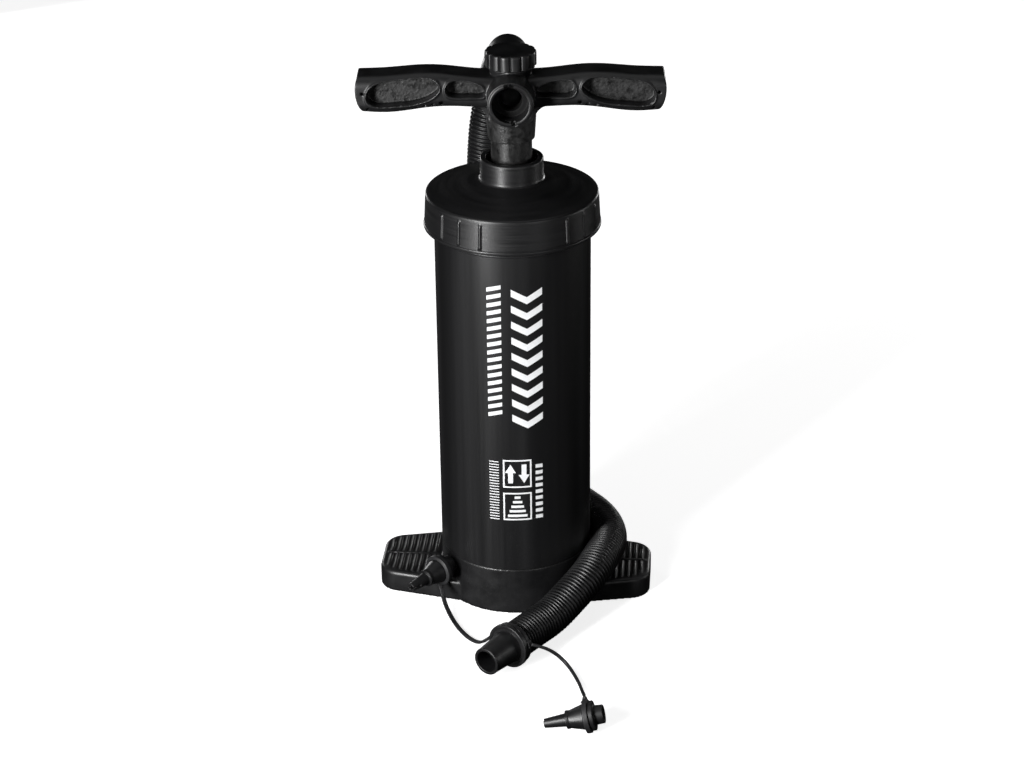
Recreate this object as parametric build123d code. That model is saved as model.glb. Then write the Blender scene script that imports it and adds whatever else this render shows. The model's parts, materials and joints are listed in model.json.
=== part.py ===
from build123d import *
import math
import os

# Double action hand pump, 480 mm tall, in millimetres.
# The origin is on the floor at the barrel's axis, +Z is up, the handle lies along X,
# and the inlet port in the handle faces -Y. The plunger is drawn fully down.

# ---- driving dimensions -------------------------------------------------------------
BARREL_OD = 125.0          # barrel outside diameter
BARREL_WALL = 2.5
SEAM_Z = 41.3              # joint between foot and barrel
BARREL_TOP_Z = 346.0       # barrel rim, under the cap
STROKE = 250.0             # plunger travel

CAP_SKIRT_R = 70.3         # screw cap, widest at its lower edge
CAP_SHOULDER_R = 68.9
CAP_BOTTOM_Z = 325.0
CAP_RIM_Z = 353.0
COLLAR_R = 25.2            # collar round the rod
COLLAR_BORE_R = 20.4
COLLAR_TOP_Z = 381.0

ROD_R = 16.2               # outer rod tube
ROD_BORE_R = 14.2
INNER_TUBE_R = 9.0
INNER_TUBE_BORE_R = 7.4
RUN_GAP = 0.05             # radial clearance of the sliding fits
FREE_GAP = 0.3             # gap between bodies that never touch

WING_SPAN = 228.0          # foot, tip to tip
WING_HEIGHT = 18.5
WING_HALF_ROOT = 55.0      # half depth of the foot's outline at the axis
WING_HALF_TIP = 29.4
FOOT_TURN = -4.0           # the foot stands turned from the handle, which spins freely

PORT_Z = 436.0             # axis of the two ports in the handle
PORT_REACH = 38.0          # from the axis to a port's face
PORT_R = 18.0
PORT_BORE_R = 14.0
SLEEVE_BOTTOM_Z = 397.0    # lower end of the handle's rod sleeve
HANDLE_DEPTH = 34.0

SELECTOR_R = 20.2          # ribbed selector cap on top of the hub
SELECTOR_BOTTOM_Z = 456.5
SELECTOR_TOP_Z = 468.0
SELECTOR_FLUTES = 14

HOSE_OD = 31.0
HOSE_ID = 25.0
FLANGE_R = 18.5            # flange on each hose fitting
FLANGE_THICK = 4.5
NOZZLE_LENGTH = 27.7       # from the flange's front face to the mouth
STRAP_D = 3.2              # adapter leash

BARREL_R = BARREL_OD / 2
BORE_R = BARREL_R - BARREL_WALL
PISTON_Z = 56.0            # underside of the piston with the plunger down
PLATE_THICK = 5.0
PISTON_HEIGHT = 25.0
PISTON_R = BORE_R - 0.6
BUSH_BOTTOM_Z = 346.0


# ---- helpers ------------------------------------------------------------------------
def turned(outline):
    """Solid of revolution about Z from a closed outline of (radius, height) points."""
    edge = Polyline(*[(radius, 0, height) for radius, height in outline], close=True)
    return revolve(make_face(edge), Axis.Z)


def ring(outer, inner, low, high):
    """Plain ring about Z between two heights."""
    return turned([(inner, low), (outer, low), (outer, high), (inner, high)])


def disc(radius, low, high):
    """Plain disc about Z between two heights."""
    return Pos(0, 0, (low + high) / 2) * Cylinder(radius, high - low)


def round_circles(body, spots, radius):
    """Round the circular edges found at each (radius, height) in spots."""
    chosen = [
        edge
        for edge in body.edges().filter_by(GeomType.CIRCLE)
        if any(abs(edge.radius - r) < 0.01 and abs(edge.arc_center.Z - z) < 0.01 for r, z in spots)
    ]
    return fillet(chosen, radius)


def holes(count, circle_r, hole_r, low, high, start=0.0):
    """A circle of upright round cutters."""
    pin = disc(hole_r, low, high)
    turn = 360 / count
    return Part() + [Rot(0, 0, start + turn * i) * Pos(circle_r, 0, 0) * pin for i in range(count)]


def corner_radii(points):
    """Largest arc for each corner of a route: 0.45 of its shorter run over tan of half the turn."""
    route = [Vector(*p) for p in points]
    radii = []
    for before, corner, after in zip(route, route[1:], route[2:]):
        run_in = corner - before
        run_out = after - corner
        turn = math.radians(run_in.get_angle(run_out))
        radii.append(0.45 * min(run_in.length, run_out.length) / math.tan(turn / 2))
    return radii


def cord_solid(name, points, outer, inner=0.0):
    """Tube of straight runs and tangent arcs along a route, with its radii and volume printed."""
    radii = corner_radii(points)
    path = FilletPolyline(*points, radius=radii)
    start = Plane(origin=points[0], z_dir=Vector(*points[1]) - Vector(*points[0]))
    section = Circle(outer)
    if inner:
        section -= Circle(inner)
    body = sweep(start * section, path=path)
    ideal = math.pi * (outer**2 - inner**2) * path.length
    print(f"{name}: length {path.length:.1f}, radii {[round(r) for r in radii]}, "
          f"volume {body.volume / ideal:.4f} of section x length")
    return body


def save(**nodes):
    """Write each solid to parts/NODE.step."""
    for node, body in nodes.items():
        export_step(body, f"parts/{node}.step")


# ---- foot ---------------------------------------------------------------------------
SPIGOT_R = BORE_R - 0.15
SPIGOT_BORE_R = 56.0
FOOT_FLOOR_Z = 48.0        # underside of the chamber floor
FOOT_TOP_Z = 52.0
SKIRT_WALL = 3.0
LEDGE_Z = 36.0
TREAD_PITCH = 5.3
TREAD_WIDTH = 2.4
TREAD_HEIGHT = 0.7
TREAD_INSET = 4.5
TREADS_PER_WING = 8
GROOVE_Z = 46.3            # base seal groove
GROOVE_HEIGHT = 2.6
GROOVE_R = 57.7


def wing_plan(inset=0.0):
    """Plan of the foot's two wings, tapered from the axis to round-cornered tips."""
    tip_x = WING_SPAN / 2 - inset
    root_y = WING_HALF_ROOT - inset
    tip_y = WING_HALF_TIP - inset
    corners = [(0, root_y), (tip_x, tip_y), (tip_x, -tip_y), (0, -root_y), (-tip_x, -tip_y), (-tip_x, tip_y)]
    plan = make_face(Polyline(*corners, close=True))
    tips = [v for v in plan.vertices() if abs(v.X) > 1]
    return fillet(tips, 18.0 - inset)


def foot_wings():
    """Hollow, treaded wings with a round hole for the socket."""
    wings = extrude(wing_plan(), WING_HEIGHT)
    wings = fillet(wings.edges().group_by(Axis.Z)[-1], 3.0)
    under = extrude(wing_plan(SKIRT_WALL), WING_HEIGHT - SKIRT_WALL)
    webs = Part() + [Pos(x, 0, 4) * Box(2, 120, WING_HEIGHT) for x in (-92, -77, 77, 92)]
    webs += Pos(0, 0, 4) * Box(WING_SPAN, 2, WING_HEIGHT)
    return wings - (under - webs) + treads() - disc(BARREL_R, -10, SEAM_Z)


def foot_socket():
    """Round socket with spokes below, a chamber floor, and the spigot that carries the barrel."""
    body = disc(BARREL_R, 0, SEAM_Z)
    body -= disc(BARREL_R - SKIRT_WALL, 0, LEDGE_Z)
    body -= disc(SPIGOT_BORE_R, LEDGE_Z, SEAM_Z)
    body += ring(SPIGOT_R, SPIGOT_BORE_R, LEDGE_Z, FOOT_TOP_Z) + disc(SPIGOT_R, FOOT_FLOOR_Z, FOOT_TOP_Z)
    spokes = Part() + [Rot(0, 0, 60 * i) * Pos(0, 0, 24) * Box(118, 2.5, 48) for i in range(3)]
    body += spokes & disc(BARREL_R - 1, 0, FOOT_FLOOR_Z)
    return body - ring(SPIGOT_R + 1, GROOVE_R, GROOVE_Z - GROOVE_HEIGHT / 2, GROOVE_Z + GROOVE_HEIGHT / 2)


def foot_base():
    """Foot moulding: the wings and the socket, kept as two touching solids."""
    return Rot(0, 0, FOOT_TURN) * Compound(children=[*foot_wings().solids(), *foot_socket().solids()])


def treads():
    """Low ridges across each wing, and one along its middle, where the feet stand."""
    low = WING_HEIGHT - 0.5
    high = WING_HEIGHT + TREAD_HEIGHT
    plate = Pos(0, 0, low) * extrude(wing_plan(TREAD_INSET), high - low) - disc(BARREL_R + 3, 0, 60)
    ridge = Box(TREAD_WIDTH, 120, 60)
    xs = [WING_SPAN / 2 - 8 - TREAD_PITCH * i for i in range(TREADS_PER_WING)]
    comb = Part() + [Pos(side * x, 0, 20) * ridge for x in xs for side in (-1, 1)]
    comb += Pos(0, 0, 20) * Box(WING_SPAN, TREAD_WIDTH, 60)
    return plate & comb


def base_seal():
    """O-ring between spigot and barrel."""
    round_section = Pos(BORE_R - 1.15, 0, GROOVE_Z) * (Plane.XZ * Circle(1.1))
    return revolve(round_section, Axis.Z)


# ---- barrel and cap -----------------------------------------------------------------
THREAD_R = 64.8
THREAD_PITCH = 5.0
CAP_BORE_R = 66.0
GASKET_THICK = 2.0
HOUSING_R = 24.6           # gland housing inside the cap
DOME_FOOT_R = 66.0         # the cap's top rises from here to the collar
DOME_HEAD_R = 30.0
DOME_HEAD_Z = 362.6
RIB_HEIGHT = 20.5
RIB_R = 1.3
RIB_GROUPS = 4
RIB_STEP = 15.5            # degrees between the ribs of a group
RIB_FIRST = -125.9         # direction of the first group's middle rib, from +X


def barrel_tube():
    """Barrel with a thin bead below the cap and thread turns at its rim."""
    body = ring(BARREL_R, BORE_R, SEAM_Z, BARREL_TOP_Z)
    body += ring(BARREL_R + 0.7, BORE_R + 1, 320.0, 321.8)
    for turn_number in range(3):
        low = 330.0 + THREAD_PITCH * turn_number
        body += ring(THREAD_R, BORE_R + 1, low, low + 2.2)
    return body


def screw_cap():
    """Ribbed screw cap, its shallow dome and the collar round the rod."""
    slope = (DOME_HEAD_Z - CAP_RIM_Z) / (DOME_FOOT_R - DOME_HEAD_R)
    seat_z = BARREL_TOP_Z + GASKET_THICK
    seat_r = 57.0
    inner_rim_z = CAP_RIM_Z - 1.5
    body = turned([
        (CAP_BORE_R, CAP_BOTTOM_Z),
        (CAP_SKIRT_R, CAP_BOTTOM_Z),
        (CAP_SHOULDER_R, CAP_RIM_Z - 0.8),
        (DOME_FOOT_R, CAP_RIM_Z),
        (DOME_HEAD_R, DOME_HEAD_Z),
        (COLLAR_R, DOME_HEAD_Z + 0.8),
        (COLLAR_R, COLLAR_TOP_Z),
        (COLLAR_BORE_R, COLLAR_TOP_Z),
        (COLLAR_BORE_R, seat_z + 1),
        (HOUSING_R, seat_z + 1),
        (HOUSING_R, inner_rim_z + slope * (seat_r - HOUSING_R)),
        (seat_r, inner_rim_z),
        (seat_r, seat_z),
        (CAP_BORE_R, seat_z),
    ])
    body = round_circles(body, [(CAP_SHOULDER_R, CAP_RIM_Z - 0.8)], 2.4)
    body = round_circles(body, [(COLLAR_R, COLLAR_TOP_Z)], 2.0)
    body = round_circles(body, [(COLLAR_R, DOME_HEAD_Z + 0.8)], 3.0)
    body = round_circles(body, [(COLLAR_BORE_R, COLLAR_TOP_Z)], 1.0)
    rib = Cylinder(RIB_R, RIB_HEIGHT) + Pos(0, 0, RIB_HEIGHT / 2) * Sphere(RIB_R)
    rib += Pos(0, 0, -RIB_HEIGHT / 2) * Sphere(RIB_R)
    lean = math.degrees(math.atan((CAP_SKIRT_R - CAP_SHOULDER_R) / (CAP_RIM_Z - CAP_BOTTOM_Z)))
    middle_z = (CAP_BOTTOM_Z + CAP_RIM_Z) / 2 - 1.0
    for group in range(RIB_GROUPS):
        for place in (-1, 0, 1):
            angle = RIB_FIRST + 360 / RIB_GROUPS * group + RIB_STEP * place
            body += Rot(0, 0, angle) * Pos(CAP_SKIRT_R - 0.9, 0, middle_z) * Rot(0, -lean, 0) * rib
    return body


def cap_gasket():
    """Flat ring between the barrel's rim and the cap."""
    return ring(CAP_BORE_R - 0.5, BORE_R, BARREL_TOP_Z, BARREL_TOP_Z + GASKET_THICK)


def gland_bush():
    """Flanged bush that guides the rod, with a groove for the gland seal."""
    body = turned([
        (ROD_R + RUN_GAP, BUSH_BOTTOM_Z),
        (HOUSING_R - 0.4, BUSH_BOTTOM_Z),
        (HOUSING_R - 0.4, BUSH_BOTTOM_Z + 3),
        (COLLAR_BORE_R - 0.05, BUSH_BOTTOM_Z + 3),
        (COLLAR_BORE_R - 0.05, 371.0),
        (ROD_R + RUN_GAP, 371.0),
    ])
    return body - ring(18.6, ROD_R - 1, 354.0, 358.0)


def gland_seal():
    """Rubber ring in the bush's groove."""
    return ring(18.55, ROD_R + RUN_GAP, 354.1, 357.9)


def rod_wiper():
    """Wiper ring on top of the bush, inside the collar."""
    return turned([(ROD_R + RUN_GAP, 371.0), (COLLAR_BORE_R - 0.1, 371.0), (COLLAR_BORE_R - 0.1, 373.0),
                   (ROD_R + 1.6, 373.0), (ROD_R + RUN_GAP, 375.0)])


def base_bumper():
    """Rubber ring on the chamber floor that the piston comes down on."""
    return ring(30.0, 22.0, FOOT_TOP_Z, PISTON_Z - FREE_GAP)


# ---- piston -------------------------------------------------------------------------
SEAL_R = BORE_R - RUN_GAP
WALL_R = 54.0
SCREW_CIRCLE_R = 49.0
SCREW_R = 2.0
PORTS = 8
INTAKE_CIRCLE_R = 40.0
DELIVERY_CIRCLE_R = 26.0
PORT_HOLE_R = 3.0
FLAP_HALF = 5.0
FLAP_THICK = 1.0
UPPER_PLATE_Z = PISTON_Z + PISTON_HEIGHT - PLATE_THICK
ROD_TOP_Z = 426.0
PIN_Z = 405.0              # two short pins lock the rod in the handle's sleeve
PIN_R = 1.95
DIVIDER_Z = PISTON_Z + 10.0


def piston_plate(low, wall_low, wall_high, bore):
    """Round plate with a rim wall, two circles of ports, screw holes and a centre hole."""
    high = low + PLATE_THICK
    body = disc(PISTON_R, low, high) + ring(WALL_R, WALL_R - 3, wall_low, wall_high)
    body -= holes(PORTS, INTAKE_CIRCLE_R, PORT_HOLE_R, low - 1, high + 1)
    body -= holes(PORTS, DELIVERY_CIRCLE_R, PORT_HOLE_R, low - 1, high + 1, start=22.5)
    body -= holes(4, SCREW_CIRCLE_R, SCREW_R + 0.05, low - 1, high + 1, start=45)
    if bore:
        body -= disc(bore, low - 1, high + 1)
    return body


def piston_divider():
    """Middle plate that parts the intake space from the delivery space."""
    body = disc(WALL_R, DIVIDER_Z, DIVIDER_Z + PLATE_THICK)
    body -= disc(INNER_TUBE_R + 0.05, DIVIDER_Z - 1, DIVIDER_Z + PLATE_THICK + 1)
    body -= holes(4, SCREW_CIRCLE_R, SCREW_R + 0.05, DIVIDER_Z - 1, DIVIDER_Z + PLATE_THICK + 1, start=45)
    return body


def piston_seal():
    """Double-lipped cup seal between the piston plates."""
    low = PISTON_Z + PLATE_THICK + 0.1
    high = UPPER_PLATE_Z - 0.1
    body = ring(SEAL_R, WALL_R + 0.1, low, high)
    lip_gap = (WALL_R + SEAL_R) / 2
    body -= ring(lip_gap + 1, lip_gap - 1, low - 1, low + 4)
    body -= ring(lip_gap + 1, lip_gap - 1, high - 4, high + 1)
    return body


def piston_screws():
    """Four screws that clamp the plates, with round heads on the upper plate."""
    top = UPPER_PLATE_Z + PLATE_THICK
    screw = disc(SCREW_R, PISTON_Z + 1, top) + disc(SCREW_R * 1.9, top, top + 2.2)
    screw -= Pos(0, 0, top + 2) * Box(5, 0.9, 1.6)
    return Part() + [Rot(0, 0, 45 + 90 * i) * Pos(SCREW_CIRCLE_R, 0, 0) * screw for i in range(4)]


def flap(circle_r, low):
    """Flat rubber ring that covers one circle of ports."""
    return ring(circle_r + FLAP_HALF, circle_r - FLAP_HALF, low, low + FLAP_THICK)


def rod_tube():
    """Outer rod tube, with windows into the piston's intake space."""
    body = ring(ROD_R, ROD_BORE_R, DIVIDER_Z + PLATE_THICK, ROD_TOP_Z)
    window = Box(60, 7, 3.4)
    for angle in (0, 90):
        body -= Pos(0, 0, DIVIDER_Z + PLATE_THICK + 2.4) * Rot(0, 0, angle) * window
    return body - Pos(0, 0, PIN_Z) * Rot(90, 0, 0) * Cylinder(PIN_R + 0.05, 60)


def rod_bumper():
    """Rubber sleeve on the rod that ends the up stroke against the bush."""
    low = UPPER_PLATE_Z + PLATE_THICK
    return ring(18.6, ROD_R + 0.05, low, BUSH_BOTTOM_Z - STROKE - FREE_GAP)


def delivery_elbow():
    """Bent tube that leads the inner tube into the outlet port."""
    path = FilletPolyline((0, 0, 426), (0, 0, PORT_Z), (0, 25, PORT_Z), radius=9.6)
    section = Plane(origin=(0, 0, 426)) * (Circle(INNER_TUBE_R) - Circle(INNER_TUBE_BORE_R))
    return sweep(section, path=path)


# ---- handle -------------------------------------------------------------------------
NECK_TOP_Z = 463.2
NECK_R = 16.4
NECK_BORE_R = 11.0
# (x, lower edge, upper edge, corner radius) of the grip's section, from hub to end
GRIP_SECTIONS = [
    (0.0, 425.9, 450.0, 7.0),
    (30.0, 425.9, 450.2, 7.0),
    (57.0, 426.0, 453.3, 8.0),
    (84.0, 422.6, 452.4, 8.0),
    (108.0, 422.0, 450.9, 8.0),
    (123.0, 422.4, 450.2, 8.0),
]
# pocket outlines on the grip's faces, as (x, z) points of a closed smooth curve
LONG_POCKET = [(55.4, 442.6), (58.6, 448.0), (66.0, 450.0), (80.0, 449.4), (96.0, 447.6), (105.5, 444.6),
               (110.2, 439.0), (110.4, 432.6), (106.0, 429.0), (92.0, 428.7), (78.0, 429.8), (65.0, 433.4),
               (58.0, 437.8)]
SHORT_POCKET = [(49.6, 441.8), (47.0, 446.8), (42.5, 448.0), (34.0, 447.4), (26.0, 445.2), (20.8, 441.6),
                (19.4, 438.2), (21.8, 436.0), (28.0, 435.6), (37.0, 435.5), (44.0, 435.7), (48.2, 437.4)]
POCKET_WEB = 15.0          # thickness left between opposite pockets
GRIP_PITS = [(53.5, 430.6, 1.8), (60.0, 428.7, 1.8), (66.5, 427.4, 1.8), (72.5, 426.4, 1.2),
             (114.5, 438.5, 1.2), (110.5, 425.8, 1.2)]   # (x, z, radius)


def grip_section(x, low, high, corner):
    """Rounded section of the grip at one place along X."""
    frame = Plane(origin=(x, 0, (low + high) / 2), x_dir=(0, 1, 0), z_dir=(1, 0, 0))
    return frame * RectangleRounded(HANDLE_DEPTH, high - low, corner)


def grip():
    """The T's cross bar, with round-nosed ends and a pocket on each face of each side."""
    left = [(-x, low, high, corner) for x, low, high, corner in reversed(GRIP_SECTIONS[1:])]
    body = loft([grip_section(*spec) for spec in left + GRIP_SECTIONS])
    end_top, end_nose, end_toe = (116.0, 456.0), (120.0, 439.0), (110.5, 418.0)
    mirrored = [(-x, z) for x, z in (end_top, end_nose, end_toe)]
    outline = Wire([
        ThreePointArc(end_top, end_nose, end_toe).edge(),
        Line(end_toe, mirrored[2]).edge(),
        ThreePointArc(mirrored[2], mirrored[1], mirrored[0]).edge(),
        Line(mirrored[0], end_top).edge(),
    ])
    side_view = Plane.XZ * make_face(outline)
    body &= extrude(side_view, 30, both=True)
    for outline_points in (LONG_POCKET, SHORT_POCKET):
        for side in (-1, 1):
            points = [(side * x, z) for x, z in outline_points]
            hollow = extrude(Plane.XZ * make_face(Spline(*points, periodic=True)), 30, both=True)
            hollow -= Box(300, POCKET_WEB, 1000)
            body -= hollow
    for x, z, radius in GRIP_PITS:
        for side in (-1, 1):
            body -= Pos(side * x, -HANDLE_DEPTH / 2 + 2.7, z) * Rot(90, 0, 0) * Cylinder(radius, 6.0)
    return body


def port(face_y):
    """Round port from the hub to a face at face_y."""
    barrel = Pos(0, face_y / 2, PORT_Z) * Rot(90, 0, 0) * Cylinder(PORT_R, abs(face_y))
    return barrel


def port_bore(face_y):
    """Bore of a port, with two bayonet notches at its mouth."""
    side = math.copysign(1, face_y)
    seat_y = 25.0
    middle = side * (seat_y + PORT_REACH + 1) / 2
    bore = Pos(0, middle, PORT_Z) * Rot(90, 0, 0) * Cylinder(PORT_BORE_R, PORT_REACH + 1 - seat_y)
    notch = Box(5.0, 10.0, 2 * (PORT_R + 1))
    for angle, height in ((8, 1), (8, -1)):
        bore += (Pos(0, side * PORT_REACH, PORT_Z) * Rot(0, angle, 0) * Pos(0, 0, height * PORT_R) * notch
                 & Pos(0, side * PORT_REACH, PORT_Z) * Rot(90, 0, 0) * Cylinder(PORT_R - 1.4, 10))
    return bore


def handle():
    """Handle moulding: grip, hub with rod sleeve and two ports, and the selector neck."""
    body = grip()
    body += turned([(0, SLEEVE_BOTTOM_Z), (18.5, SLEEVE_BOTTOM_Z), (19.6, 414.0), (19.6, 448.0),
                    (15.4, 449.5), (18.2, 455.5), (NECK_R, 455.5), (NECK_R, NECK_TOP_Z), (0, NECK_TOP_Z)])
    gusset = Wire([
        Line((-31, 426.5), (31, 426.5)).edge(),
        ThreePointArc((31, 426.5), (22, 422.6), (18.0, 413.5)).edge(),
        Line((18.0, 413.5), (-18.0, 413.5)).edge(),
        ThreePointArc((-18.0, 413.5), (-22, 422.6), (-31, 426.5)).edge(),
    ])
    body += extrude(Plane.XZ * make_face(gusset), 11, both=True)
    for face_y in (-PORT_REACH, PORT_REACH):
        body += port(face_y)
    for face_y in (-PORT_REACH, PORT_REACH):
        body -= port_bore(face_y)
    body -= disc(ROD_R + RUN_GAP, SLEEVE_BOTTOM_Z - 1, ROD_TOP_Z)
    body -= disc(13.0, ROD_TOP_Z - 1, 448.0)
    body -= disc(NECK_BORE_R, 447.0, NECK_TOP_Z + 1)
    body -= Pos(0, -15, PORT_Z) * Rot(90, 0, 0) * Cylinder(9.0, 24)
    body -= Pos(0, 15, PORT_Z) * Rot(90, 0, 0) * Cylinder(INNER_TUBE_R + 0.05, 24)
    return body - Pos(0, 0, PIN_Z) * Rot(90, 0, 0) * Cylinder(PIN_R + 0.05, 36)


def handle_pins():
    """Two short pins, front and back, that lock the rod tube in the handle's sleeve."""
    low = ROD_BORE_R + 0.2
    high = 17.8
    pin = Pos(0, (low + high) / 2, PIN_Z) * Rot(90, 0, 0) * Cylinder(PIN_R, high - low)
    return pin + Rot(0, 0, 180) * pin


# ---- selector -----------------------------------------------------------------------
def selector_cap():
    """Fluted cap that screws onto the neck."""
    body = disc(SELECTOR_R, SELECTOR_BOTTOM_Z, SELECTOR_TOP_Z)
    body = round_circles(body, [(SELECTOR_R, SELECTOR_TOP_Z)], 1.4)
    groove = disc(1.5, SELECTOR_BOTTOM_Z - 1, SELECTOR_TOP_Z - 1.2)
    body -= Part() + [Rot(0, 0, 360 / SELECTOR_FLUTES * i) * Pos(SELECTOR_R + 0.4, 0, 0) * groove
                      for i in range(SELECTOR_FLUTES)]
    return body - disc(NECK_R + FREE_GAP, SELECTOR_BOTTOM_Z - 1, SELECTOR_TOP_Z - 2.5)


def selector_gasket():
    """Flat ring inside the selector cap."""
    return ring(NECK_R - 0.2, NECK_BORE_R - 1, NECK_TOP_Z + FREE_GAP, SELECTOR_TOP_Z - 2.5 - FREE_GAP)


# ---- hose and its fittings ----------------------------------------------------------
ELBOW_R = 16.2
ELBOW_CORNER = Vector(-4.2, 102.5, PORT_Z)
ELBOW_BEND_R = 16.6
ELBOW_OUTLET = Vector(-0.294, -0.158, -0.943)
HOSE_EXIT = ELBOW_CORNER + ELBOW_OUTLET * 30.0

# The hose hangs behind the barrel, comes round its +X side over the foot, and lies down in front.
HOSE_ROUTE = [
    tuple(ELBOW_CORNER + ELBOW_OUTLET * 30.4),
    tuple(ELBOW_CORNER + ELBOW_OUTLET * 52.0),
    (-23.5, 93.2, 345.0),
    (-24.5, 94.2, 293.0),
    (-22.0, 95.5, 241.0),
    (-18.5, 97.0, 189.0),
    (-24.0, 102.0, 144.7),
    (-21.4, 103.7, 106.4),
    (-4.7, 97.5, 72.3),
    (21.9, 84.0, 48.3),
    (51.9, 63.0, 37.8),
    (74.1, 32.2, 36.9),
    (80.3, -5.3, 37.0),
    (69.3, -41.4, 38.2),
    (58.4, -64.2, 33.9),
    (44.4, -82.0, 27.2),
    (29.4, -100.2, 19.8),
    (13.1, -118.06, 18.6),
    (-3.27, -140.28, 18.6),
]
CONNECTOR_AXIS = (-0.5931, -0.8051, 0.0)
TETHER_RING_THICK = 4.0
LUG_REACH = 19.0           # from the connector's axis to the end of a leash lug

LEFT_STRAP = [
    (-18.2, -127.6, 18.6),
    (-23.5, -123.0, 11.5),
    (-29.0, -116.0, 4.6),
    (-36.5, -106.3, 2.1),
    (-44.8, -93.0, 2.0),
    (-51.0, -78.5, 2.1),
    (-56.0, -64.5, 3.2),
    (-60.0, -54.0, 7.6),
    (-62.8, -47.0, 17.6),
]
RIGHT_STRAP = [
    (13.5, -149.9, 24.4),
    (21.0, -149.5, 22.0),
    (28.2, -146.0, 16.6),
    (35.5, -144.0, 9.6),
    (42.0, -147.5, 4.0),
    (47.0, -158.0, 2.1),
    (51.2, -172.0, 2.0),
    (53.4, -186.0, 3.6),
    (54.5, -199.0, 9.0),
    (54.8, -211.0, 15.8),
    (54.7, -222.4, 21.0),
]
LUG_ANGLES = (180, 17)     # directions of the two leash lugs about the connector's axis
ADAPTER_LENGTH = 47.0
COLLAR_FROM_TIP = 34.0
LEFT_ADAPTER = ((-63.8, -45.8, 32.0), (0.650, 0.755, 0.050))
RIGHT_ADAPTER = ((56.5, -234.6, 12.9), (0.970, -0.070, 0.233))


def hose_elbow():
    """Elbow in the outlet port: spigot, flange, and a bend that hands the hose on."""
    start_y = PORT_REACH + FREE_GAP
    foot = Vector(0, start_y + FLANGE_THICK / 2, PORT_Z)
    path = FilletPolyline(foot, ELBOW_CORNER, HOSE_EXIT, radius=ELBOW_BEND_R)
    start = Plane(origin=(0, start_y, PORT_Z), z_dir=(0, 1, 0))
    leg = Plane(origin=foot, z_dir=ELBOW_CORNER - foot)
    body = sweep(leg * Circle(ELBOW_R), path=path)
    body += start * extrude(Circle(FLANGE_R), FLANGE_THICK)
    body += start * extrude(Circle(PORT_BORE_R - 0.1), -12.0)
    body -= sweep(leg * Circle(11.5), path=path)
    return body - start * Pos(0, 0, -6) * Cylinder(10.0, 24)


def port_seal():
    """O-ring between the elbow's spigot and the port's seat."""
    frame = Plane(origin=(0, 25.0, PORT_Z), z_dir=(0, 1, 0))
    return frame * extrude(Circle(PORT_BORE_R - 0.1) - Circle(10.0), 1.2)


def hose_connector():
    """Free end of the hose: flange, tapered nozzle and the tail inside the hose."""
    body = extrude(Circle(FLANGE_R), FLANGE_THICK)
    body = fillet(body.edges().filter_by(GeomType.CIRCLE), 1.2)
    nozzle = loft([Pos(0, 0, FLANGE_THICK - 0.5) * Circle(13.4),
                   Pos(0, 0, FLANGE_THICK + NOZZLE_LENGTH) * Circle(11.0)])
    body += nozzle
    body += Pos(0, 0, -14) * extrude(Circle(HOSE_ID / 2 - 0.1), 15)
    body -= Pos(0, 0, -20) * extrude(Circle(8.8), 80)
    return connector_frame() * body


def connector_frame():
    """Frame at the end of the hose: Z along the connector's axis, X level and to its side."""
    side = (-CONNECTOR_AXIS[1], CONNECTOR_AXIS[0], 0)
    return Plane(origin=HOSE_ROUTE[-1], x_dir=side, z_dir=CONNECTOR_AXIS)


def tether_ring():
    """Soft ring behind the connector's flange, with a lug on each side for a leash."""
    body = Circle(FLANGE_R - 0.8)
    for angle in LUG_ANGLES:
        body += Rot(0, 0, angle) * Pos(LUG_REACH / 2, 0) * Rectangle(LUG_REACH, 6.0)
    body -= Circle(HOSE_OD / 2 + 0.15)
    return connector_frame() * Pos(0, 0, -0.2 - TETHER_RING_THICK) * extrude(body, TETHER_RING_THICK)


def adapter_frame(place):
    """Frame at an adapter's tip, with Z along its axis towards the plug."""
    centre, axis = place
    tip = Vector(*centre) - Vector(*axis).normalized() * COLLAR_FROM_TIP
    return Plane(origin=tip, z_dir=axis)


def adapter(place):
    """Valve adapter: forked tip, slim nozzle, band, cone, flange and plug."""
    body = turned([
        (0, 0), (3.6, 0), (5.2, 17.5), (7.2, 17.5), (7.2, 20.0), (6.8, 20.0), (9.9, 31.0), (10.6, 36.2),
        (11.6, 36.2), (11.6, 39.6), (7.6, 39.6), (7.2, ADAPTER_LENGTH), (0, ADAPTER_LENGTH),
    ])
    body -= disc(2.0, -1, ADAPTER_LENGTH + 1)
    body -= disc(5.2, 30, ADAPTER_LENGTH + 1)
    body -= Pos(0, 0, 3.5) * Box(20, 2.4, 9)
    return adapter_frame(place) * body


def adapter_collar(place):
    """Soft collar of the leash, round the adapter's cone."""
    body = turned([(10.25, 31.4), (13.0, 32.4), (13.0, 36.0), (10.85, 36.0)])
    return adapter_frame(place) * body


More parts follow.
